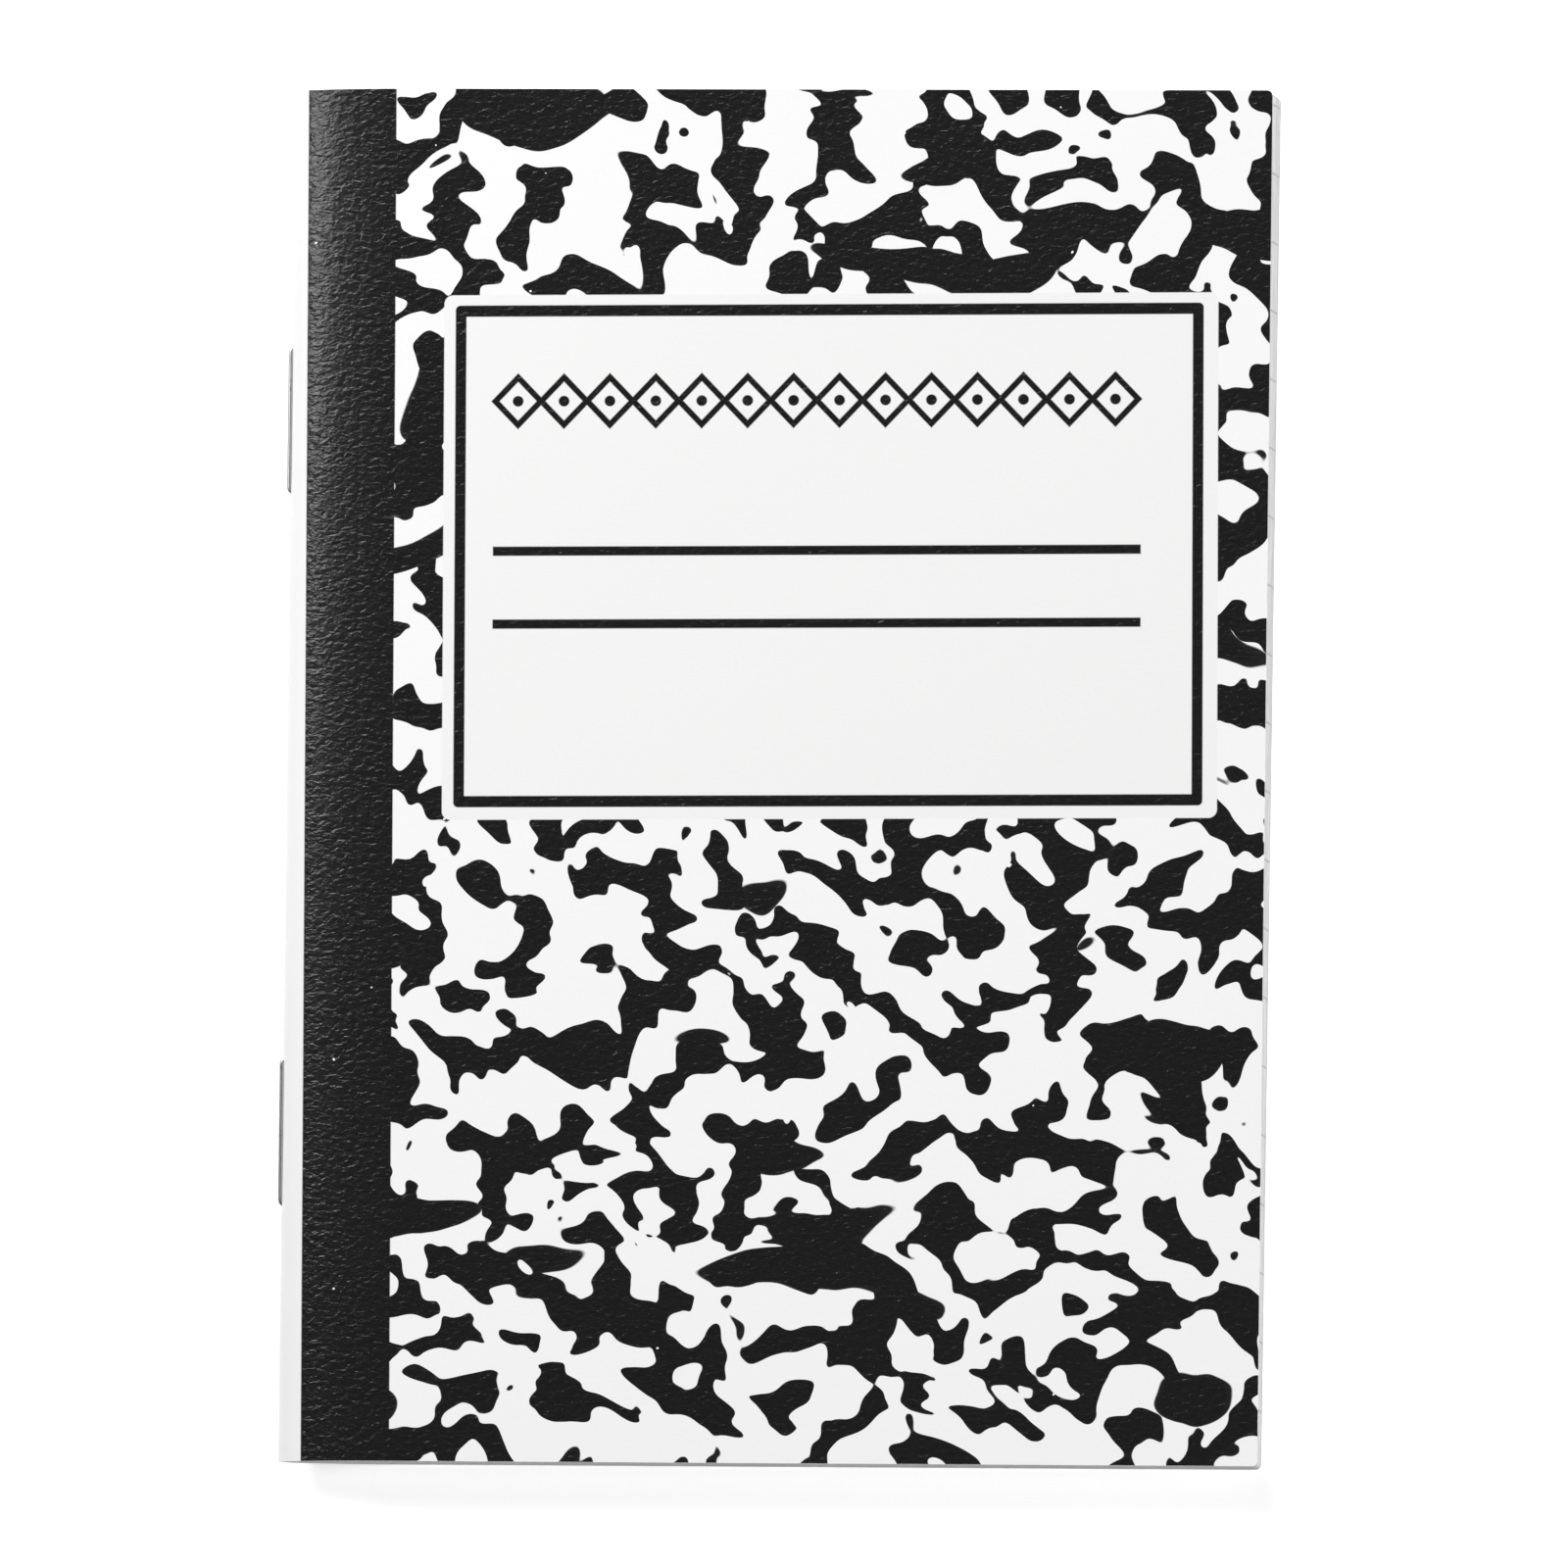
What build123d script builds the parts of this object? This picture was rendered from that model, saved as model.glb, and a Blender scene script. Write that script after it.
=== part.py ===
from build123d import *
import math
import os

# Pocket composition notebook, lying closed on its back cover.
# +X runs from the folded spine to the fore edge, +Y to the head, +Z up through the front cover.
# The origin is the middle of the footprint, on the surface that the book lies on.

# Book
book_height = 127.0         # head to tail
cover_width = 90.6          # spine nose to the front cover's fore edge
book_thickness = 6.0        # over both covers
fore_edge_lean = 0.6        # how far the lowest leaf and the back cover reach past the front cover
corner_radius = 0.5         # fore-edge corners, slightly blunted

# Card cover
card_thickness = 0.3
fold_taper = 12.0           # the book thins towards its fold over this length
crease_inset = 2.4          # spine nose to the line where each cover bends
crease_gap = 0.2            # width of the cut that stands for the crease
crease_lift = 0.08          # hinge line above the card's outer face
leaf_clearance = 0.15       # between the leaves and the card

# Wire staples
wire_diameter = 0.5
staple_crown = 14.0         # over the legs
staple_inset = 30.5         # head or tail to the middle of the crown
staple_depth = 3.4          # crown to clinch, centre to centre
staple_clinch = 5.2         # each turned-in leg, measured along the fold
staple_bend = 0.5           # centre-line radius of the four bends
staple_sink = 0.17          # how far the crown is pressed into the card
staple_clearance = 0.04     # round the wire, in card and leaves

# Places that follow from those sizes
crown_stand = wire_diameter - staple_sink
nose_x = crown_stand - (cover_width + fore_edge_lean + crown_stand) / 2
taper_x = nose_x + fold_taper
front_edge_x = nose_x + cover_width
back_edge_x = front_edge_x + fore_edge_lean
middle_z = book_thickness / 2
leaf_inset = card_thickness + leaf_clearance


def folded_section(inset, top_edge_x, bottom_edge_x):
    """Closed outline of the book's section, moved in by inset from the card's outer face."""
    top_z = book_thickness - inset
    half_height = middle_z - inset
    fold = EllipticalCenterArc((taper_x, middle_z), fold_taper - inset, half_height, 90, arc_size=180)
    bottom = Line((taper_x, inset), (bottom_edge_x, inset))
    edge = Line((bottom_edge_x, inset), (top_edge_x, top_z))
    top = Line((top_edge_x, top_z), (taper_x, top_z))
    return make_face([fold, bottom, edge, top])


def along_book(section):
    """Solid of a section drawn in X and Z, centred on the book's height."""
    return extrude(Plane.XZ * section, amount=book_height / 2, both=True)


def crease_frame(side):
    """Plane on the card's outer face at a crease, its z outward and its x along the card; side is 1 or -1."""
    turn = math.acos(1 - crease_inset / fold_taper)
    point = (taper_x - fold_taper * math.cos(turn), 0, middle_z + side * middle_z * math.sin(turn))
    outward = Vector(-math.cos(turn) / fold_taper, 0, side * math.sin(turn) / middle_z)
    return Plane(origin=point, x_dir=outward.cross(Vector(0, 1, 0)), z_dir=outward)


def hinge_point(side):
    """Point on a cover's hinge line, just outside the crease."""
    frame = crease_frame(side)
    return frame.origin + frame.z_dir * crease_lift


def make_cover():
    """The folded card, cut at its two creases: front cover, spine strip and back cover."""
    outside = folded_section(0, front_edge_x, front_edge_x)
    inside = folded_section(card_thickness, front_edge_x, front_edge_x)
    card = along_book(outside) - along_book(inside)
    lower_edge = Pos(front_edge_x + fore_edge_lean / 2, 0, card_thickness / 2)
    card += lower_edge * Box(fore_edge_lean, book_height, card_thickness)
    card = fillet(card.edges().filter_by(Axis.Z), corner_radius)
    for side in (1, -1):
        cut = Box(crease_gap, book_height + card_thickness, 4 * card_thickness)
        card -= crease_frame(side) * cut
    back, spine, front = card.solids().sort_by(Axis.Z)
    return front, spine, back


def staple_wire(middle_y, radius):
    """Round wire of a given radius along a staple's centre line."""
    crown_x = nose_x - crown_stand + wire_diameter / 2
    clinch_x = crown_x + staple_depth
    low_y = middle_y - (staple_crown - wire_diameter) / 2
    high_y = middle_y + (staple_crown - wire_diameter) / 2
    corners = [
        (clinch_x, low_y + staple_clinch, middle_z),
        (clinch_x, low_y, middle_z),
        (crown_x, low_y, middle_z),
        (crown_x, high_y, middle_z),
        (clinch_x, high_y, middle_z),
        (clinch_x, high_y - staple_clinch, middle_z),
    ]
    path = FilletPolyline(*corners, radius=staple_bend)
    start = Plane(origin=path @ 0, z_dir=path % 0)
    return sweep(start * Circle(radius), path=path)


def make_leaves():
    """The nested leaves, with a slanting fore edge."""
    leaves = along_book(folded_section(leaf_inset, front_edge_x, back_edge_x))
    fore_face = leaves.faces().sort_by(Axis.X)[-1]
    return fillet(fore_face.edges().filter_by(Axis.Y, reverse=True), corner_radius)


front_cover, cover_spine, back_cover = make_cover()
page_block = make_leaves()
staples = {}
for name, side in (("upper_staple", 1), ("lower_staple", -1)):
    middle_y = side * (book_height / 2 - staple_inset)
    staples[name] = staple_wire(middle_y, wire_diameter / 2)
    hole = staple_wire(middle_y, wire_diameter / 2 + staple_clearance)
    cover_spine -= hole
    page_block -= hole

nodes = {
    "front_cover": front_cover,
    "cover_spine": cover_spine,
    "back_cover": back_cover,
    "page_block": page_block,
    **staples,
}

os.makedirs("parts", exist_ok=True)
for name, shape in nodes.items():
    export_step(shape, f"parts/{name}.step")
    print(name, round(shape.volume, 2), "mm3")
for side in (1, -1):
    print("hinge line", [round(value, 4) for value in hinge_point(side)])
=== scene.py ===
import math

import bmesh
import bpy
import numpy as np
from mathutils import Matrix, Quaternion, Vector


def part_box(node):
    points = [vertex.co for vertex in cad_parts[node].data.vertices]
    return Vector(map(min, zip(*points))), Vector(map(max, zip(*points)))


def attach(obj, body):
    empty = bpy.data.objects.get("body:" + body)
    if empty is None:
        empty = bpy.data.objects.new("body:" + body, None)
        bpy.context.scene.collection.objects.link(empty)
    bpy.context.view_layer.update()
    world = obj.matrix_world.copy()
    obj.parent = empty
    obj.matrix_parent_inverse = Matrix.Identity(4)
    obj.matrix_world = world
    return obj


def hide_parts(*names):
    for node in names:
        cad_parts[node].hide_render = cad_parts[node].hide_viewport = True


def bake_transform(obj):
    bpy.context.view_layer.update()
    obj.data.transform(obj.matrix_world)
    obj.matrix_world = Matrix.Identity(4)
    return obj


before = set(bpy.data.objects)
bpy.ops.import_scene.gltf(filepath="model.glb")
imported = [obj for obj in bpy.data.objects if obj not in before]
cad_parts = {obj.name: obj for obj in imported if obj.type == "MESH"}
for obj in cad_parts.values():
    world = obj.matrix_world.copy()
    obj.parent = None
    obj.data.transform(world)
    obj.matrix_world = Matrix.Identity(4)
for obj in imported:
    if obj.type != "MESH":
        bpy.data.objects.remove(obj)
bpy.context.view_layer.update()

mm = 0.001

# places that every piece shares, read from the frame
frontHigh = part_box("front_cover")[1]
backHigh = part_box("back_cover")[1]
leafLow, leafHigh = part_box("page_block")
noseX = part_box("cover_spine")[0].x
topZ = frontHigh.z
middleZ = topZ / 2
halfHeight = frontHigh.y

fold = {
    "taper": 12.0 * mm,        # the book thins to its fold over this length
    "card": 0.3 * mm,          # card thickness
    "crease": 2.4 * mm,        # nose to crease
    "bend": 1.6 * mm,          # card that bends when a cover opens
    "corner": 0.5 * mm,        # blunted fore-edge corners
    "trim": 0.6 * mm,          # the lowest leaves and the back cover are cut back by this at the tail
    "skew": 0.2 * mm,          # the front cover's cut runs out by this at the head
    "score": 6.8 * mm,         # nose to a faint score line along each cover
}
taperX = noseX + fold["taper"]

meshing = {
    "merge": 0.001 * mm,       # points closer than this become one
    "sliver": 0.0001 * mm,     # edges shorter than this go
    "sharp": 35,               # degrees past which an edge isn't smoothed
    "cornerSteps": 6,          # rows of points round a blunted corner
}


def gridQuads(rows, columns, first=0):
    # four corners of each cell of a rows by columns grid of points
    index = first + np.arange(rows * columns).reshape(rows, columns)
    return np.stack([index[:-1, :-1], index[:-1, 1:], index[1:, 1:], index[1:, :-1]], -1).reshape(-1, 4)


def meshPiece(name, points, quads, kinds, materials):
    # one closed mesh: points that coincide are merged and faces are turned outwards; kinds gives each
    # face its material. The attribute restPlace keeps where each point lies before a cover bends
    mesh = bpy.data.meshes.new(name)
    mesh.from_pydata(points.tolist(), [], quads.tolist())
    for material in materials:
        mesh.materials.append(material)
    mesh.polygons.foreach_set("material_index", kinds.astype(np.int32))
    work = bmesh.new()
    work.from_mesh(mesh)
    bmesh.ops.remove_doubles(work, verts=work.verts, dist=meshing["merge"])
    bmesh.ops.dissolve_degenerate(work, edges=work.edges, dist=meshing["sliver"])
    bmesh.ops.recalc_face_normals(work, faces=work.faces)
    work.to_mesh(mesh)
    work.free()
    mesh.polygons.foreach_set("use_smooth", np.ones(len(mesh.polygons), bool))
    mesh.set_sharp_from_angle(angle=math.radians(meshing["sharp"]))
    places = np.empty(3 * len(mesh.vertices), np.float32)
    mesh.vertices.foreach_get("co", places)
    mesh.attributes.new("restPlace", "FLOAT_VECTOR", "POINT").data.foreach_set("vector", places)
    piece = bpy.data.objects.new(name, mesh)
    bpy.context.scene.collection.objects.link(piece)
    return piece


def heightStations(count, corner):
    # places along the height, evenly spaced, with a quarter turn of close ones at each blunted corner
    turn = np.linspace(0, math.pi / 2, meshing["cornerSteps"])
    end = halfHeight - corner + corner * np.sin(turn)
    middle = np.linspace(-(halfHeight - corner), halfHeight - corner, count)
    return np.concatenate([-end[::-1], middle[1:-1], end])


def tailTrim(y):
    # how far the slanting cut takes the lowest sheet's fore edge back at height y
    return fold["trim"] * (0.5 - 0.5 * y / halfHeight)


def cornerCut(y, corner):
    # how far a blunted corner of that radius takes the fore edge back at height y
    past = np.clip(np.abs(y) - (halfHeight - corner), 0, corner)
    return corner - np.sqrt(np.maximum(corner ** 2 - past ** 2, 0))


def foldPoint(x, side, inset):
    # x and z on the card, moved in by inset. Past the taper it is flat; before it, the angle that x has on
    # the outer half ellipse of the fold is used on the inner one
    turn = np.arccos(np.clip((taperX - x) / fold["taper"], -1, 1))
    flat = x > taperX
    foldX = taperX - (fold["taper"] - inset) * np.cos(turn)
    foldZ = (middleZ - inset) * np.sin(turn)
    return np.where(flat, x, foldX), middleZ + side * np.where(flat, middleZ - inset, foldZ)


def cardSolid(name, outer, inner, materials):
    # two sheets of points, rows along the height, closed by strips all round
    rows, columns = outer.shape[:2]
    points = np.concatenate([outer.reshape(-1, 3), inner.reshape(-1, 3)])
    far = rows * columns
    index = np.arange(far).reshape(rows, columns)
    rim = np.concatenate([index[0], index[1:, -1], index[-1, -2::-1], index[-2:0:-1, 0]])
    after = np.roll(rim, -1)
    edge = np.stack([rim, after, after + far, rim + far], -1)
    quads = [gridQuads(rows, columns)[:, ::-1], gridQuads(rows, columns, far), edge]
    kinds = np.concatenate([np.full(len(part), kind) for kind, part in enumerate(quads)])
    return meshPiece(name, points, np.concatenate(quads), np.minimum(kinds, len(materials) - 1), materials)


def put(tree, socket, value):
    # a socket takes a link from another socket, or a plain value
    if isinstance(value, bpy.types.NodeSocket):
        tree.links.new(value, socket)
    elif value is not None:
        socket.default_value = value


def calc(tree, operation, *values):
    # the result of a Math node, whose values are sockets or plain numbers
    node = tree.nodes.new("ShaderNodeMath")
    node.operation = operation
    for socket, value in zip(node.inputs, values):
        put(tree, socket, value)
    return node.outputs[0]


def vectorCalc(tree, operation, *values):
    # the result of a Vector Math node; a length is a number
    node = tree.nodes.new("ShaderNodeVectorMath")
    node.operation = operation
    for socket, value in zip(node.inputs, values):
        put(tree, socket, value)
    return node.outputs["Value" if operation == "LENGTH" else "Vector"]


def noise(tree, vector, scale, detail=0.0, roughness=0.5, distortion=0.0, colour=False):
    # smooth noise about 0.5, or three of them as a colour; detail adds finer layers, roughness their share
    node = tree.nodes.new("ShaderNodeTexNoise")
    put(tree, node.inputs["Vector"], vector)
    node.inputs["Scale"].default_value = scale
    node.inputs["Detail"].default_value = detail
    node.inputs["Roughness"].default_value = roughness
    node.inputs["Distortion"].default_value = distortion
    return node.outputs["Color"] if colour else node.outputs["Fac"]


def ramp(tree, value, low, high, outLow=0.0, outHigh=1.0):
    # value from low to high becomes outLow to outHigh, clamped
    node = tree.nodes.new("ShaderNodeMapRange")
    for socket, item in zip(node.inputs, (value, low, high, outLow, outHigh)):
        put(tree, socket, item)
    return node.outputs["Result"]


def blendColour(tree, factor, first, second):
    # first where factor is 0, second where it is 1
    node = tree.nodes.new("ShaderNodeMix")
    node.data_type = "RGBA"
    put(tree, node.inputs["Factor"], factor)
    put(tree, node.inputs["A"], first if isinstance(first, bpy.types.NodeSocket) else (*first, 1))
    put(tree, node.inputs["B"], second if isinstance(second, bpy.types.NodeSocket) else (*second, 1))
    return node.outputs["Result"]


def splitAxes(tree, vector):
    # x, y and z of a vector
    node = tree.nodes.new("ShaderNodeSeparateXYZ")
    put(tree, node.inputs[0], vector)
    return node.outputs[0], node.outputs[1], node.outputs[2]


def joinAxes(tree, x, y, z=0.0):
    # a vector of x, y and z
    node = tree.nodes.new("ShaderNodeCombineXYZ")
    for socket, value in zip(node.inputs, (x, y, z)):
        put(tree, socket, value)
    return node.outputs[0]


def shaderGroup(name, inputs, outputs):
    # an empty node group with named inputs and outputs; kinds are the sockets' types
    tree = bpy.data.node_groups.new(name, "ShaderNodeTree")
    for label, kind, value in inputs:
        socket = tree.interface.new_socket(label, in_out="INPUT", socket_type="NodeSocket" + kind)
        if value is not None:
            socket.default_value = value
    for label, kind in outputs:
        tree.interface.new_socket(label, in_out="OUTPUT", socket_type="NodeSocket" + kind)
    return tree, tree.nodes.new("NodeGroupInput").outputs, tree.nodes.new("NodeGroupOutput").inputs


def useGroup(tree, group, **values):
    # places a group with its own inputs; gives its outputs
    node = tree.nodes.new("ShaderNodeGroup")
    node.node_tree = group
    for label, value in values.items():
        put(tree, node.inputs[label], value)
    return node.outputs


def newMaterial(name, bends=False):
    # a material with its node tree, its Principled shader and places in millimetres: the object's own
    # coordinates, or on card that bends, where the surface lay at rest
    material = bpy.data.materials.new(name)
    material.use_nodes = True
    tree = material.node_tree
    shader = tree.nodes["Principled BSDF"]
    if bends:
        attribute = tree.nodes.new("ShaderNodeAttribute")
        attribute.attribute_name = "restPlace"
        place = attribute.outputs["Vector"]
    else:
        place = tree.nodes.new("ShaderNodeTexCoord").outputs["Object"]
    scaled = vectorCalc(tree, "SCALE", place)
    scaled.node.inputs["Scale"].default_value = 1 / mm
    return material, tree, shader, scaled


marbling = {
    "scale": 0.25,            # islands per millimetre
    "stretch": 0.88,          # along the width, so that islands lie a little wider than tall
    "slant": 0.1,             # how far islands lean
    "swirl": 4.5,             # slow bending, in millimetres
    "swirlScale": 0.12,       # bends per millimetre
    "ripple": 1.3,            # quick bending that makes lobes and cusps
    "rippleScale": 0.32,
    "detail": 1.0,            # one finer layer
    "level": 0.515,           # noise above this is ink
    "streakScale": 0.14,      # long streaks laid over the islands
    "streakStretch": 0.45,
    "streakSlant": -0.4,
    "streakLevel": 0.70,
    "holeScale": 0.3,         # small white holes
    "holeLevel": 0.84,
    "soft": 0.002,            # half the width of an ink edge, in noise
    "rim": (0.003, 0.015),    # the ink's outer margin, in noise past its edge
}

layout = {                    # millimetres from the middle of the book, in the print's own square
    "turn": 0.39,             # degrees that the print is turned against the trimmed card
    "bandLeft": -43.6,
    "bandRight": -35.3,
    "plate": (5.05, 20.2, 35.8, 24.3, 0.8),      # middle x, y, half width, half height, corner
    "frameOut": (4.9, 20.3, 34.6, 23.25, 0.45),
    "frameIn": (4.9, 20.3, 33.6, 22.2, 0.05),
    "rule": (3.8, 29.95, 0.43),                  # middle x, half length, half thickness
    "ruleHeights": (20.75, 14.0),
    "ornament": (3.75, 34.65, 4.25, 2.1, 2.2),   # middle x, y, pitch, half width, half height of a lozenge
    "ornamentCount": 14,
    "line": 0.28,                                # half of the ornament's stroke
    "dot": 0.5,                                  # radius of its dots
    "edge": 0.09,                                # softness of a printed edge
    "bandEdge": 0.05,                            # half the softness of the band's edges
}

coating = {                   # fine wrinkles in the card's coating
    "stretch": (1.0, 1.5, 1.0),                  # they lie longer across the book than up it
    "scale": 1.4,                                # wrinkles per millimetre
    "detail": 2.0,
    "roughness": 0.55,
    "distortion": 0.5,
    "mottleScale": 2.2,
    "mottleDetail": 3.0,
    "mottleRoughness": 0.6,
}


def makeBoxDistance():
    # distance outside a rounded box: how far the place lies past the half sizes, each shortened by the
    # corner radius; the length of what is past zero, or the larger when neither is, less that radius
    inputs = [(label, "Vector", None) for label in ("Place", "Middle", "Half")]
    inputs.append(("Corner", "Float", 0.0))
    tree, given, out = shaderGroup("roundedBox", inputs, [("Distance", "Float")])
    away = vectorCalc(tree, "ABSOLUTE", vectorCalc(tree, "SUBTRACT", given["Place"], given["Middle"]))
    rounded = joinAxes(tree, given["Corner"], given["Corner"])
    past = vectorCalc(tree, "ADD", vectorCalc(tree, "SUBTRACT", away, given["Half"]), rounded)
    x, y, _ = splitAxes(tree, past)
    outside = vectorCalc(tree, "LENGTH", vectorCalc(tree, "MAXIMUM", joinAxes(tree, x, y), (0, 0, 0)))
    within = calc(tree, "MINIMUM", calc(tree, "MAXIMUM", x, y), 0.0)
    put(tree, out["Distance"], calc(tree, "SUBTRACT", calc(tree, "ADD", outside, within), given["Corner"]))
    return tree


def bentPlace(tree, place, scale, reach, seed):
    # the place moved across and along by reach times a noise less its mean; seed picks another part of it
    shifted = vectorCalc(tree, "ADD", place, (seed, -seed, 0))
    away = vectorCalc(tree, "SUBTRACT", noise(tree, shifted, scale, colour=True), (0.5, 0.5, 0.5))
    return vectorCalc(tree, "ADD", place, vectorCalc(tree, "MULTIPLY", away, (reach, reach, 0)))


def slantedPlace(tree, x, y, stretch, slant, layer):
    # x leans with y by the slant and is then stretched; layer picks another slice of the noise
    leaning = calc(tree, "ADD", x, calc(tree, "MULTIPLY", y, slant))
    return joinAxes(tree, calc(tree, "MULTIPLY", leaning, stretch), y, layer)


def makeMarbling():
    # ink is the union of islands and long streaks, less small holes; each is where bent noise passes its
    # level, as the larger or the smaller of two differences. The rim is the ink's outer margin
    outputs = [("Ink", "Float"), ("Rim", "Float")]
    tree, given, out = shaderGroup("marbling", [("Place", "Vector", None)], outputs)
    moved = bentPlace(tree, given["Place"], marbling["swirlScale"], marbling["swirl"], 0.0)
    moved = bentPlace(tree, moved, marbling["rippleScale"], marbling["ripple"], 40.0)
    x, y, _ = splitAxes(tree, moved)
    place = slantedPlace(tree, x, y, marbling["stretch"], marbling["slant"], 0.0)
    island = noise(tree, place, marbling["scale"], marbling["detail"])
    island = calc(tree, "SUBTRACT", island, marbling["level"])
    place = slantedPlace(tree, x, y, marbling["streakStretch"], marbling["streakSlant"], 90.0)
    streak = calc(tree, "SUBTRACT", noise(tree, place, marbling["streakScale"]), marbling["streakLevel"])
    place = slantedPlace(tree, x, y, 1.0, 0.0, 50.0)
    hole = calc(tree, "SUBTRACT", marbling["holeLevel"], noise(tree, place, marbling["holeScale"]))
    field = calc(tree, "MINIMUM", calc(tree, "MAXIMUM", island, streak), hole)
    put(tree, out["Ink"], ramp(tree, field, -marbling["soft"], marbling["soft"]))
    put(tree, out["Rim"], ramp(tree, field, *marbling["rim"], 1.0, 0.0))
    return tree


def makeGrain():
    # wrinkles as a height, and a mottle that makes the ink uneven
    outputs = [("Height", "Float"), ("Mottle", "Float")]
    tree, given, out = shaderGroup("cardGrain", [("Place", "Vector", None)], outputs)
    wide = vectorCalc(tree, "MULTIPLY", given["Place"], coating["stretch"])
    fineness = (coating["detail"], coating["roughness"], coating["distortion"])
    put(tree, out["Height"], noise(tree, wide, coating["scale"], *fineness))
    fineness = (coating["mottleDetail"], coating["mottleRoughness"])
    put(tree, out["Mottle"], noise(tree, given["Place"], coating["mottleScale"], *fineness))
    return tree


boxDistance = makeBoxDistance()
marblingGroup = makeMarbling()
grainGroup = makeGrain()

card = {
    "ink": (0.0070, 0.0069, 0.0069),
    "white": (0.80, 0.80, 0.798),
    "plate": (0.765, 0.765, 0.762),              # the label's ground
    "bare": ((0.74, 0.74, 0.73), (0.8, 0.8, 0.795)),         # darkest and lightest of the unprinted side
    "mottle": (0.6, 1.4),                        # least and most of the ink's colour
    "rim": 1.8,                                  # the ink's colour times this, at its rim
    "whiteRoughness": 0.5,
    "inkRoughness": 0.25,
    "bareRoughness": 0.75,
    "specular": 0.45,
    "speckScale": 0.9,                           # specks per millimetre where ink is missing
    "speckLevel": (0.88, 0.885),
    "wrinkle": 0.6,                              # strength
    "wrinkleDepth": 0.15 * mm,
    "whiteWrinkle": 0.15,                        # share of the wrinkles that shows where there is no ink
    "scoreWidth": 0.4,                           # millimetres to each side of the score line
    "scoreDepth": -0.12,                         # as a share of the wrinkles' depth
    "fibreScale": 1.8,                           # the unprinted side's fibres
    "fibreDetail": 4.0,
    "fibreRoughness": 0.6,
    "fibre": 0.2,
    "fibreDepth": 0.02 * mm,
    "backShift": (310.0, 140.0, 0.0),            # another part of the marbling, for the back cover
}


def shadeOf(colour, factor):
    # every part of the colour times the factor
    return tuple(factor * part for part in colour)


def inside(tree, distance):
    # 1 where a distance is below zero, softened over the printed edge
    return ramp(tree, distance, -layout["edge"] / 2, layout["edge"] / 2, 1.0, 0.0)


def boxMask(tree, place, middleX, middleY, halfX, halfY, corner):
    # 1 inside a rounded box of that middle and those half sizes, 0 outside it
    middle = (middleX, middleY, 0)
    half = (halfX, halfY, 0)
    found = useGroup(tree, boxDistance, Place=place, Middle=middle, Half=half, Corner=corner)
    return inside(tree, found["Distance"])


def lozengeChain(tree, place):
    # a row of lozenges, each with a dot. A place belongs to the lozenge whose pitch it lies in, or to the
    # end one; from that one's middle, |x| / half width + |y| / half height is 1 on the outline
    middleX, middleY, pitch, halfX, halfY = layout["ornament"]
    count = layout["ornamentCount"]
    x, y, _ = splitAxes(tree, vectorCalc(tree, "SUBTRACT", place, (middleX - pitch * count / 2, middleY, 0)))
    number = calc(tree, "FLOOR", calc(tree, "DIVIDE", x, pitch))
    number = calc(tree, "MINIMUM", calc(tree, "MAXIMUM", number, 0.0), count - 1.0)
    middle = calc(tree, "MULTIPLY", calc(tree, "ADD", number, 0.5), pitch)
    along = calc(tree, "ABSOLUTE", calc(tree, "SUBTRACT", x, middle))
    up = calc(tree, "ABSOLUTE", y)
    reach = calc(tree, "ADD", calc(tree, "DIVIDE", along, halfX), calc(tree, "DIVIDE", up, halfY))
    slope = halfX * halfY / math.hypot(halfX, halfY)
    fromOutline = calc(tree, "ABSOLUTE", calc(tree, "MULTIPLY", calc(tree, "SUBTRACT", reach, 1.0), slope))
    fromDot = calc(tree, "SUBTRACT", vectorCalc(tree, "LENGTH", joinAxes(tree, along, up)), layout["dot"])
    chain = calc(tree, "MINIMUM", calc(tree, "SUBTRACT", fromOutline, layout["line"]), fromDot)
    return inside(tree, chain)


def labelInk(tree, place):
    # the label's printed lines: the chain, the frame and the two rules, each a mask
    ink = lozengeChain(tree, place)
    frameHole = boxMask(tree, place, *layout["frameIn"])
    frameMask = calc(tree, "SUBTRACT", boxMask(tree, place, *layout["frameOut"]), frameHole)
    ink = calc(tree, "MAXIMUM", ink, frameMask)
    middleX, halfLength, halfThick = layout["rule"]
    for height in layout["ruleHeights"]:
        ink = calc(tree, "MAXIMUM", ink, boxMask(tree, place, middleX, height, halfLength, halfThick, 0.0))
    return ink


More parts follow.
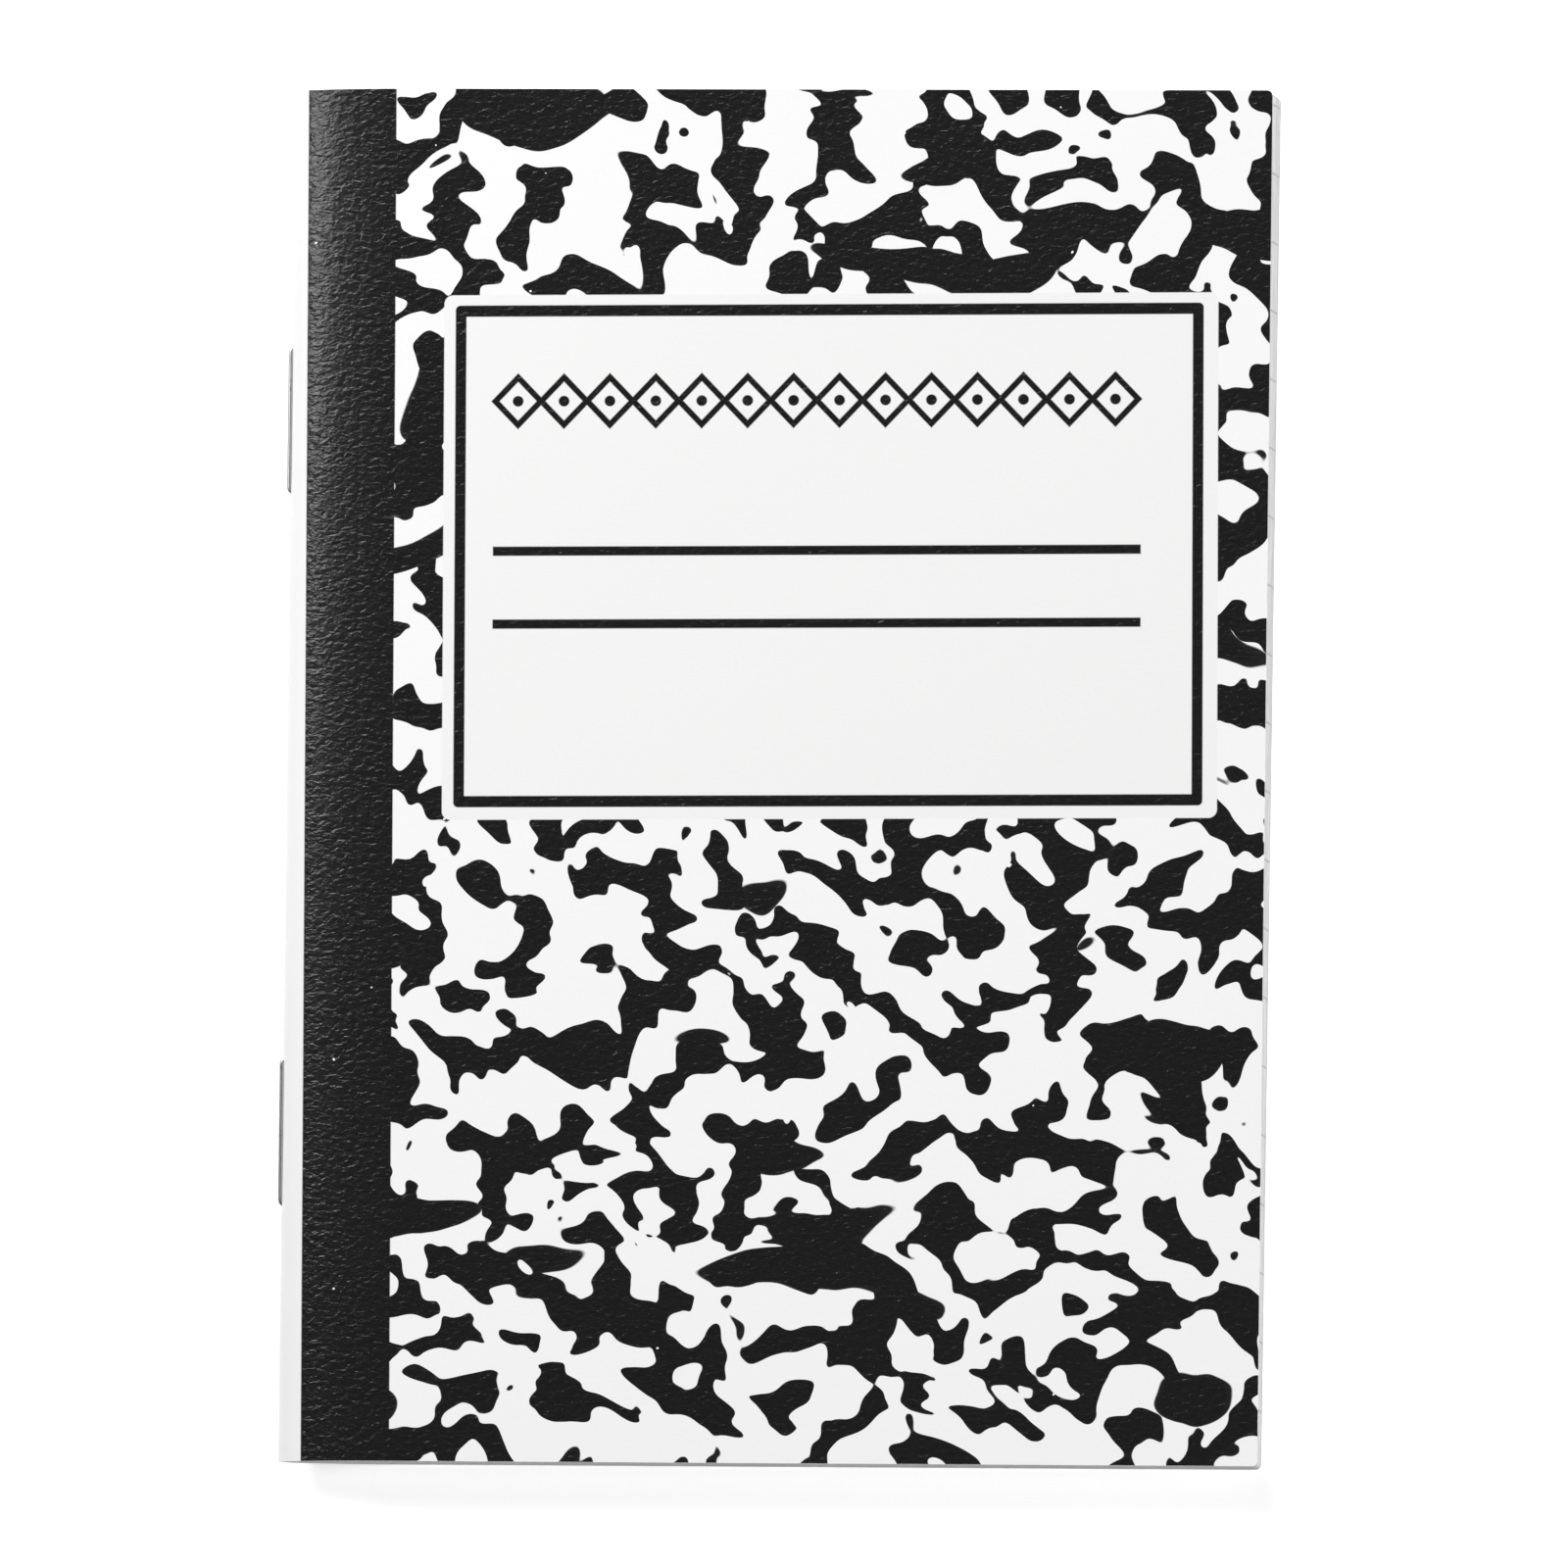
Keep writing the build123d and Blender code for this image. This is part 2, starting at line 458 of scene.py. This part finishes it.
def printedCard(name, withLabel, shift):
    # white card, black ink where the print says, with a satin coating over fine wrinkles
    material, tree, shader, place = newMaterial(name, bends=True)
    turned = tree.nodes.new("ShaderNodeMapping")
    turned.inputs["Rotation"].default_value = (0, 0, math.radians(-layout["turn"]))
    put(tree, turned.inputs["Vector"], place)
    flat = vectorCalc(tree, "MULTIPLY", turned.outputs[0], (1, 1, 0))
    x, y, _ = splitAxes(tree, flat)
    marbled = useGroup(tree, marblingGroup, Place=vectorCalc(tree, "ADD", flat, shift))
    left, right, soft = layout["bandLeft"], layout["bandRight"], layout["bandEdge"]
    printed = ramp(tree, x, left - soft, left + soft)
    band = ramp(tree, x, right - soft, right + soft, 1.0, 0.0)
    speck = ramp(tree, noise(tree, flat, card["speckScale"]), *card["speckLevel"], 1.0, 0.0)
    ink = calc(tree, "MULTIPLY", calc(tree, "MAXIMUM", marbled["Ink"], band), speck)
    rim = calc(tree, "MULTIPLY", marbled["Rim"], calc(tree, "SUBTRACT", 1.0, band))
    ground = card["white"]
    if withLabel:
        plate = boxMask(tree, flat, *layout["plate"])
        lines = labelInk(tree, flat)
        ink = calc(tree, "MAXIMUM", calc(tree, "MULTIPLY", ink, calc(tree, "SUBTRACT", 1.0, plate)), lines)
        rim = calc(tree, "MULTIPLY", rim, calc(tree, "SUBTRACT", 1.0, plate))
        ground = blendColour(tree, plate, ground, card["plate"])
    ink = calc(tree, "MULTIPLY", ink, printed)
    grain = useGroup(tree, grainGroup, Place=place)
    least, most = card["mottle"]
    blackInk = blendColour(tree, grain["Mottle"], shadeOf(card["ink"], least), shadeOf(card["ink"], most))
    blackInk = blendColour(tree, rim, blackInk, shadeOf(card["ink"], card["rim"]))
    put(tree, shader.inputs["Base Color"], blendColour(tree, ink, ground, blackInk))
    rough = ramp(tree, ink, 0.0, 1.0, card["whiteRoughness"], card["inkRoughness"])
    put(tree, shader.inputs["Roughness"], rough)
    bump = tree.nodes.new("ShaderNodeBump")
    bump.inputs["Strength"].default_value = card["wrinkle"]
    bump.inputs["Distance"].default_value = card["wrinkleDepth"]
    fromScore = calc(tree, "ABSOLUTE", calc(tree, "SUBTRACT", x, (noseX + fold["score"]) / mm))
    score = ramp(tree, fromScore, 0.0, card["scoreWidth"], card["scoreDepth"], 0.0)
    put(tree, bump.inputs["Height"], calc(tree, "ADD", grain["Height"], score))
    calm = tree.nodes.new("ShaderNodeMix")       # the wrinkles show less where there is no ink
    calm.data_type = "VECTOR"
    put(tree, calm.inputs["Factor"], ramp(tree, ink, 0.0, 1.0, card["whiteWrinkle"], 1.0))
    put(tree, calm.inputs[4], tree.nodes.new("ShaderNodeNewGeometry").outputs["Normal"])
    put(tree, calm.inputs[5], bump.outputs[0])
    put(tree, shader.inputs["Normal"], vectorCalc(tree, "NORMALIZE", calm.outputs[1]))
    shader.inputs["Specular IOR Level"].default_value = card["specular"]
    return material


def plainCard():
    # the unprinted inside and cut edges of the card
    material, tree, shader, place = newMaterial("plainCard", bends=True)
    fibre = noise(tree, place, card["fibreScale"], card["fibreDetail"], card["fibreRoughness"])
    put(tree, shader.inputs["Base Color"], blendColour(tree, fibre, *card["bare"]))
    bump = tree.nodes.new("ShaderNodeBump")
    bump.inputs["Strength"].default_value = card["fibre"]
    bump.inputs["Distance"].default_value = card["fibreDepth"]
    put(tree, bump.inputs["Height"], fibre)
    put(tree, shader.inputs["Normal"], bump.outputs[0])
    shader.inputs["Roughness"].default_value = card["bareRoughness"]
    return material


frontPrint = printedCard("frontPrint", True, (0, 0, 0))
backPrint = printedCard("backPrint", False, card["backShift"])
spinePrint = printedCard("spinePrint", False, (0, 0, 0))
cardBare = plainCard()
print("materials of the card made")


coverShape = {
    "rows": 60,
    "bendColumns": 14,
    "foldColumns": 26,
    "flatColumns": 46,
    "settle": 0.07 * mm,      # the most that the front cover lies below its highest places
    "firstWave": (17 * mm, 23 * mm),             # one radian of each wave, across and along the book
    "firstPhase": 1.1,
    "secondWave": (40 * mm, 31 * mm),
    "settleStart": 1 / 3,     # share of the flat width over which the drop sets in
}


def coverColumns(edgeX):
    # places across the width: close together at the crease, then over the fold, then on the flat part
    crease = noseX + fold["crease"]
    bend = np.linspace(crease, crease + fold["bend"], coverShape["bendColumns"])
    curve = np.linspace(bend[-1], taperX, coverShape["foldColumns"])
    flat = np.linspace(taperX, edgeX, coverShape["flatColumns"])
    return np.concatenate([bend, curve[1:], flat[1:]])


def coverSheet(name, side, edgeX, settle, materials):
    # a cover follows the fold's ellipse and then lies flat, less a drop of slow waves: half, plus a quarter
    # of sin times cos, plus a quarter of a slanting sin
    y = heightStations(coverShape["rows"], fold["corner"])[:, None]
    x = coverColumns(edgeX)[None, :]
    reach = np.clip((x - taperX) / (edgeX - taperX), 0, 1)
    cut = tailTrim(y) if side < 0 else -fold["skew"] * (0.5 + 0.5 * y / halfHeight)
    x = x - reach * (cornerCut(y, fold["corner"]) + cut)
    acrossLength, alongLength = coverShape["firstWave"]
    wave = 0.5 + 0.25 * np.sin(x / acrossLength + coverShape["firstPhase"]) * np.cos(y / alongLength)
    acrossLength, alongLength = coverShape["secondWave"]
    wave = wave + 0.25 * np.sin(y / alongLength - x / acrossLength)
    drop = settle * wave * np.clip(reach / coverShape["settleStart"], 0, 1) ** 2
    sheets = []
    for inset in (0.0, fold["card"]):
        px, pz = foldPoint(x + 0 * y, side, inset)
        sheets.append(np.stack([px, y + 0 * px, pz - side * drop], -1))
    return cardSolid(name, sheets[0], sheets[1], materials)


spineShape = {
    "rows": 181,
    "columns": 41,
    "dent": 0.1 * mm,         # how far a staple's crown presses the card in
    "dentWidth": 0.6 * mm,
    "dentEnd": 0.4 * mm,      # how softly a dent ends along the fold
}


def spineStrip(materials):
    # the card round the fold, an arc of its ellipse, pressed in under each staple's crown: a bell curve
    # through the thickness times a smooth step at each end of the crown
    reach = math.acos(1 - fold["crease"] / fold["taper"])
    turn = reach * np.linspace(-1, 1, spineShape["columns"])[None, :]
    y = np.linspace(-halfHeight, halfHeight, spineShape["rows"])[:, None]
    sheets = []
    for inset in (0.0, fold["card"]):
        x = taperX - (fold["taper"] - inset) * np.cos(turn) + 0 * y
        z = middleZ + (middleZ - inset) * np.sin(turn) + 0 * y
        for node in ("upper_staple", "lower_staple"):
            low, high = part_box(node)
            pastEnd = np.abs(y - (low.y + high.y) / 2) - (high.y - low.y) / 2
            near = 1 / (1 + np.exp(pastEnd / spineShape["dentEnd"]))
            x = x + spineShape["dent"] * near * np.exp(-((z - middleZ) / spineShape["dentWidth"]) ** 2)
        sheets.append(np.stack([x, y + 0 * x, z], -1))
    return cardSolid("spineCard", sheets[0], sheets[1], materials)


frontCard = coverSheet("frontCard", 1, frontHigh.x, coverShape["settle"], [frontPrint, cardBare])
backCard = coverSheet("backCard", -1, backHigh.x, 0.0, [backPrint, cardBare])
spineCard = spineStrip([spinePrint, cardBare])
for piece, side, name in ((frontCard, 1, "front"), (backCard, -1, "back")):
    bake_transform(piece)
    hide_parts(name + "_cover")
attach(spineCard, "bound_leaves")
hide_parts("cover_spine")
print("card made")


leaves = {
    "count": 68,
    "ruling": 6.35,           # millimetres between ruled lines
    "firstRule": 1.1,         # millimetres below the head
    "ruleWidth": 0.2,
    "ruleSoft": 0.04,         # half the softness of a ruled line's edge
    "uneven": 0.05 * mm,      # leaf edges that stand back
    "drift": 0.05 * mm,       # slow waves of whole bundles of leaves
    "endShare": 0.6,          # how much of that unevenness shows at the head and tail
    "seed": 5,
    "foldSteps": 40,
    "flatSteps": 30,
    "heightSteps": 40,
    "roughness": 0.8,
    "specular": 0.25,
    "page": ((0.78, 0.78, 0.775), (0.82, 0.82, 0.815)),
    "pageRule": (0.36, 0.47, 0.62),
    "pageRuleShare": 0.8,
    "pageFibre": (1.1, 5.0, 0.6),        # scale, detail and roughness of the noise
    "pageBump": 0.15,
    "pageDepth": 0.02 * mm,
    # darkest and lightest of the leaf edges; the dark streaks are partly each leaf's tone, partly painted
    # shade in the gaps between leaves
    "edge": ((0.5, 0.5, 0.5), (0.8, 0.8, 0.8)),
    "edgeBundle": (0.45, 0.45, 0.45),
    "edgeRule": (0.2, 0.22, 0.25),
    "edgeStreak": (0.12, 0.12, 9.0),     # streaks are long round the edge and thin through the block
    "bundleStreak": (0.02, 0.02, 1.0),
    "edgeBump": 0.6,
    "edgeDepth": 0.04 * mm,
    "paintedEndShade": 0.68,         # painted shade: the head and tail are this much as bright
    "paintedEndShadeWidth": (0.3, 0.1),   # millimetres from the end where that painted shade starts and is whole
}


def leafPaper(name, onEdges):
    # writing paper: ruled on its faces; on the cut edges each leaf shows as a fine streak, partly painted
    # shade between leaves, and each rule as a tick; the head and tail cut faces are darkened with painted
    # shade
    material, tree, shader, place = newMaterial(name)
    y = splitAxes(tree, place)[1]
    head = leafHigh.y / mm - leaves["firstRule"]
    ruling = leaves["ruling"]
    across = calc(tree, "WRAP", calc(tree, "SUBTRACT", y, head - ruling / 2), ruling, 0.0)
    across = calc(tree, "ABSOLUTE", calc(tree, "SUBTRACT", across, ruling / 2))
    half, soft = leaves["ruleWidth"] / 2, leaves["ruleSoft"]
    rule = ramp(tree, across, half - soft, half + soft, 1.0, 0.0)
    shader.inputs["Roughness"].default_value = leaves["roughness"]
    shader.inputs["Specular IOR Level"].default_value = leaves["specular"]
    bump = tree.nodes.new("ShaderNodeBump")
    if onEdges:
        streak = noise(tree, vectorCalc(tree, "MULTIPLY", place, leaves["edgeStreak"]), 1.0, 3.0, 0.7)
        bundle = noise(tree, vectorCalc(tree, "MULTIPLY", place, leaves["bundleStreak"]), 1.6, 1.0)
        # leaf streaks: each leaf's tone, partly painted shade in the gaps between leaves
        paper = blendColour(tree, ramp(tree, streak, 0.3, 0.7), *leaves["edge"])
        paper = blendColour(tree, ramp(tree, bundle, 0.35, 0.7, 0.0, 0.35), paper, leaves["edgeBundle"])
        tick = calc(tree, "MULTIPLY", rule, ramp(tree, streak, 0.35, 0.6, 0.15, 0.6))
        paper = blendColour(tree, tick, paper, leaves["edgeRule"])
        # painted shade: the cut faces darken within a fraction of a millimetre of the head and tail
        start, whole = leaves["paintedEndShadeWidth"]
        fromEnd = calc(tree, "SUBTRACT", halfHeight / mm, calc(tree, "ABSOLUTE", y))
        endShadeFactor = ramp(tree, fromEnd, whole, start, leaves["paintedEndShade"], 1.0)
        paper = vectorCalc(tree, "MULTIPLY", paper, joinAxes(tree, endShadeFactor, endShadeFactor, endShadeFactor))
        put(tree, bump.inputs["Height"], streak)
        bump.inputs["Strength"].default_value = leaves["edgeBump"]
        bump.inputs["Distance"].default_value = leaves["edgeDepth"]
    else:
        fibre = noise(tree, place, *leaves["pageFibre"])
        paper = blendColour(tree, fibre, *leaves["page"])
        line = calc(tree, "MULTIPLY", rule, leaves["pageRuleShare"])
        paper = blendColour(tree, line, paper, leaves["pageRule"])
        put(tree, bump.inputs["Height"], fibre)
        bump.inputs["Strength"].default_value = leaves["pageBump"]
        bump.inputs["Distance"].default_value = leaves["pageDepth"]
    put(tree, shader.inputs["Base Color"], paper)
    put(tree, shader.inputs["Normal"], bump.outputs[0])
    return material


def leafBlock(materials):
    # a box of three parameters: u from fold to fore edge, v up the height, w through the thickness. Each
    # leaf stands back by its own draw, and bundles by a sin that fades out at the first and last leaf
    draw = np.random.default_rng(leaves["seed"])
    w = np.linspace(0, 1, leaves["count"] * 2 + 1)
    leaf = np.minimum((w * leaves["count"]).astype(int), leaves["count"] - 1)
    back = draw.random(leaves["count"])[leaf] * leaves["uneven"]
    back = back + leaves["drift"] * (1 + np.sin(9 * w + 1.0)) * np.sin(math.pi * w)
    overFold = 1 - np.cos(np.linspace(0, math.pi / 2, leaves["foldSteps"]))
    u = np.concatenate([overFold, np.linspace(1, 2, leaves["flatSteps"])[1:]])
    v = heightStations(leaves["heightSteps"], fold["corner"]) / halfHeight
    taper = taperX - leafLow.x
    halfThick = (leafHigh.z - leafLow.z) / 2

    def surface(u, v, w, back):
        # x runs from the fold to a fore edge that leans with w; the thickness grows as a quarter ellipse
        edge = leafHigh.x + (frontHigh.x - leafHigh.x) * w - back
        edge = edge - cornerCut(v * halfHeight, fold["corner"]) - (1 - w) * tailTrim(v * halfHeight)
        x = np.where(u <= 1, leafLow.x + taper * u, taperX + (edge - taperX) * np.clip(u - 1, 0, 1))
        thick = halfThick * np.sqrt(np.clip(1 - (1 - np.minimum(u, 1)) ** 2, 0, 1))
        y = v * halfHeight - np.sign(v) * back * leaves["endShare"] * (np.abs(v) > 0.9999)
        return np.stack(np.broadcast_arrays(x, y, middleZ + thick * (2 * w - 1)), -1)

    sides = [
        surface(u[None, :], v[:, None], 0.0, back[0]),
        surface(u[None, :], v[:, None], 1.0, back[-1]),
        surface(np.array(2.0), v[:, None], w[None, :], back[None, :]),
        surface(u[None, :], np.array(-1.0), w[:, None], back[:, None]),
        surface(u[None, :], np.array(1.0), w[:, None], back[:, None]),
    ]
    quads = []
    kinds = []
    first = 0
    for number, side in enumerate(sides):            # the first two are faces, the rest cut edges
        quads.append(gridQuads(*side.shape[:2], first))
        kinds.append(np.full(len(quads[-1]), 0 if number < 2 else 1))
        first += side.shape[0] * side.shape[1]
    points = np.concatenate([side.reshape(-1, 3) for side in sides])
    return meshPiece("leafBlock", points, np.concatenate(quads), np.concatenate(kinds), materials)


leafPiece = leafBlock([leafPaper("ruledPage", False), leafPaper("leafEdges", True)])
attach(leafPiece, "bound_leaves")
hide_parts("page_block")
print("leaves made")


staples = {
    "steel": ((0.42, 0.42, 0.43), (0.62, 0.62, 0.63)),       # darkest and lightest
    "roughness": (0.22, 0.42),
    "drawn": (6.0, 0.8, 9.0),          # scratches are long along the crown
    "scratch": 0.2,
    "scratchDepth": 0.01 * mm,
}


def stapleWire():
    # drawn steel: fine scratches along the wire and a slightly uneven polish
    material, tree, shader, place = newMaterial("stapleWire")
    drawn = noise(tree, vectorCalc(tree, "MULTIPLY", place, staples["drawn"]), 2.0, 3.0, 0.6)
    put(tree, shader.inputs["Base Color"], blendColour(tree, drawn, *staples["steel"]))
    put(tree, shader.inputs["Roughness"], ramp(tree, drawn, 0.2, 0.8, *staples["roughness"]))
    shader.inputs["Metallic"].default_value = 1.0
    bump = tree.nodes.new("ShaderNodeBump")
    bump.inputs["Strength"].default_value = staples["scratch"]
    bump.inputs["Distance"].default_value = staples["scratchDepth"]
    put(tree, bump.inputs["Height"], drawn)
    put(tree, shader.inputs["Normal"], bump.outputs[0])
    return material


wire = stapleWire()
for node in ("upper_staple", "lower_staple"):
    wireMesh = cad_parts[node].data
    wireMesh.materials.clear()
    wireMesh.materials.append(wire)
print("staples finished")


studio = {
    "floor": (0.93, 0.93, 0.93),
    "floorRoughness": 0.9,
    "floorSpecular": 0.1,
    "floorReach": 4.0,         # metres from the middle
    "floorHeight": -0.02 * mm,
    "glow": 0.4,               # the floor's own light, which keeps it clear of shadow
    "world": 0.08,
    "distance": 2.4,           # camera to cover, metres
    "width": 144.4 * mm,       # what the frame takes in at the cover
    "sensor": 36,              # millimetres
    "leanFore": 4.7,           # degrees that the camera leans to the fore edge
    "leanTail": 4.9,           # and to the tail
    "roll": 0.64,              # degrees
    "aim": (0.9 * mm, -0.86 * mm),
}

lamps = {                      # place, what it faces, width and height in metres, watts
    "keyLight": ((-0.4, 0.75, 0.7), (0, 0, 0), 0.7, 0.7, 11.3),
    "fillLight": ((0.8, -0.3, 0.75), (0, 0, 0), 0.8, 0.8, 9.5),
    "sheenLight": ((-0.27, 0.13, 0.24), (-0.04, 0.08, 0), 0.12, 0.08, 0.32),
}


def makeFloor():
    # a flat pale square that glows a little
    material = bpy.data.materials.new("paleFloor")
    material.use_nodes = True
    shader = material.node_tree.nodes["Principled BSDF"]
    shader.inputs["Base Color"].default_value = (*studio["floor"], 1)
    shader.inputs["Roughness"].default_value = studio["floorRoughness"]
    shader.inputs["Specular IOR Level"].default_value = studio["floorSpecular"]
    shader.inputs["Emission Color"].default_value = (1, 1, 1, 1)
    shader.inputs["Emission Strength"].default_value = studio["glow"]
    material.cycles.emission_sampling = "NONE"
    steps = 3
    reach = np.linspace(-studio["floorReach"], studio["floorReach"], steps)
    across, along = np.meshgrid(reach, reach, indexing="ij")
    points = np.stack([across, along, np.full_like(across, studio["floorHeight"])], -1).reshape(-1, 3)
    mesh = bpy.data.meshes.new("floor")
    mesh.from_pydata(points.tolist(), [], gridQuads(steps, steps)[:, ::-1].tolist())
    mesh.materials.append(material)
    floor = bpy.data.objects.new("floor", mesh)
    bpy.context.scene.collection.objects.link(floor)


def softLight(name, place, aim, width, height, power):
    # a rectangular lamp at place, facing aim
    data = bpy.data.lights.new(name, "AREA")
    data.shape = "RECTANGLE"
    data.size = width
    data.size_y = height
    data.energy = power
    lamp = bpy.data.objects.new(name, data)
    lamp.location = place
    lamp.rotation_euler = (Vector(aim) - Vector(place)).to_track_quat("-Z", "Y").to_euler()
    bpy.context.scene.collection.objects.link(lamp)


def makeCamera():
    # looks at the middle of the cover from above, leaning towards the fore edge and the tail
    across = math.sin(math.radians(studio["leanFore"]))
    down = math.sin(math.radians(studio["leanTail"]))
    back = Vector((across, -down, math.sqrt(1 - across ** 2 - down ** 2)))
    data = bpy.data.cameras.new("camera")
    data.sensor_width = studio["sensor"]
    data.lens = studio["sensor"] * studio["distance"] / studio["width"]
    data.clip_start = 0.1
    data.clip_end = 20
    camera = bpy.data.objects.new("camera", data)
    target = Vector((*studio["aim"], topZ))
    camera.location = target + back * studio["distance"]
    up = (Vector((0, 1, 0)) - back * back.y).normalized()
    up = Quaternion(back, math.radians(studio["roll"])) @ up
    right = up.cross(back)
    camera.rotation_euler = Matrix((right, up, back)).transposed().to_euler()
    bpy.context.scene.collection.objects.link(camera)
    bpy.context.scene.camera = camera


makeFloor()
for name, setting in lamps.items():
    softLight(name, *setting)
world = bpy.data.worlds.new("studioWorld")
world.use_nodes = True
world.node_tree.nodes["Background"].inputs["Color"].default_value = (1, 1, 1, 1)
world.node_tree.nodes["Background"].inputs["Strength"].default_value = studio["world"]
bpy.context.scene.world = world
bpy.context.scene.view_settings.view_transform = "Standard"
makeCamera()
print("studio set")
